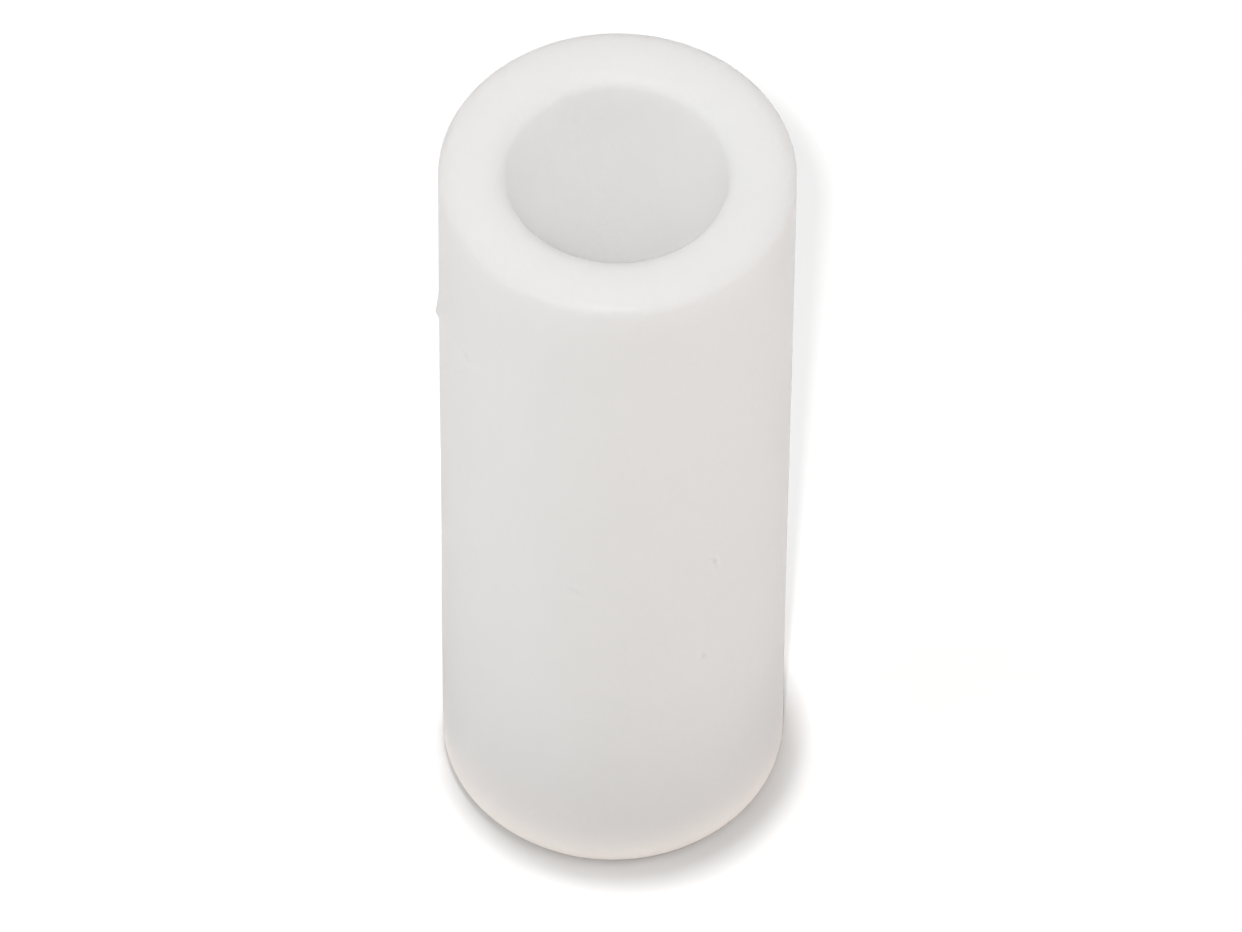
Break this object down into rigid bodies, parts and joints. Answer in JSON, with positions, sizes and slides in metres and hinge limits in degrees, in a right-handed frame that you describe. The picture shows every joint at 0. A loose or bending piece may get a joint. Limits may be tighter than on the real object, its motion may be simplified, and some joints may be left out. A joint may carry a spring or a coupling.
{
  "type": "round unthreaded standoff",
  "caption": "Short round nylon sleeve with a plain bore and soft rounded ends: an unthreaded standoff that a screw passes through, holding a board off a panel.",
  "frame": {"origin": "centre of the lower end face, on the bore's axis, where the standoff stands", "axes": "+Z along the bore's axis towards the upper end; the sleeve is round, so X and Y are any two directions across it"},
  "size_m": [0.0048, 0.0048, 0.0127],
  "materials": {
    "natural_nylon": "milky off-white moulded nylon, satin, slightly translucent"
  },
  "bodies": {
    "root": {"round_spacer": "natural_nylon"}
  },
  "joints": []
}
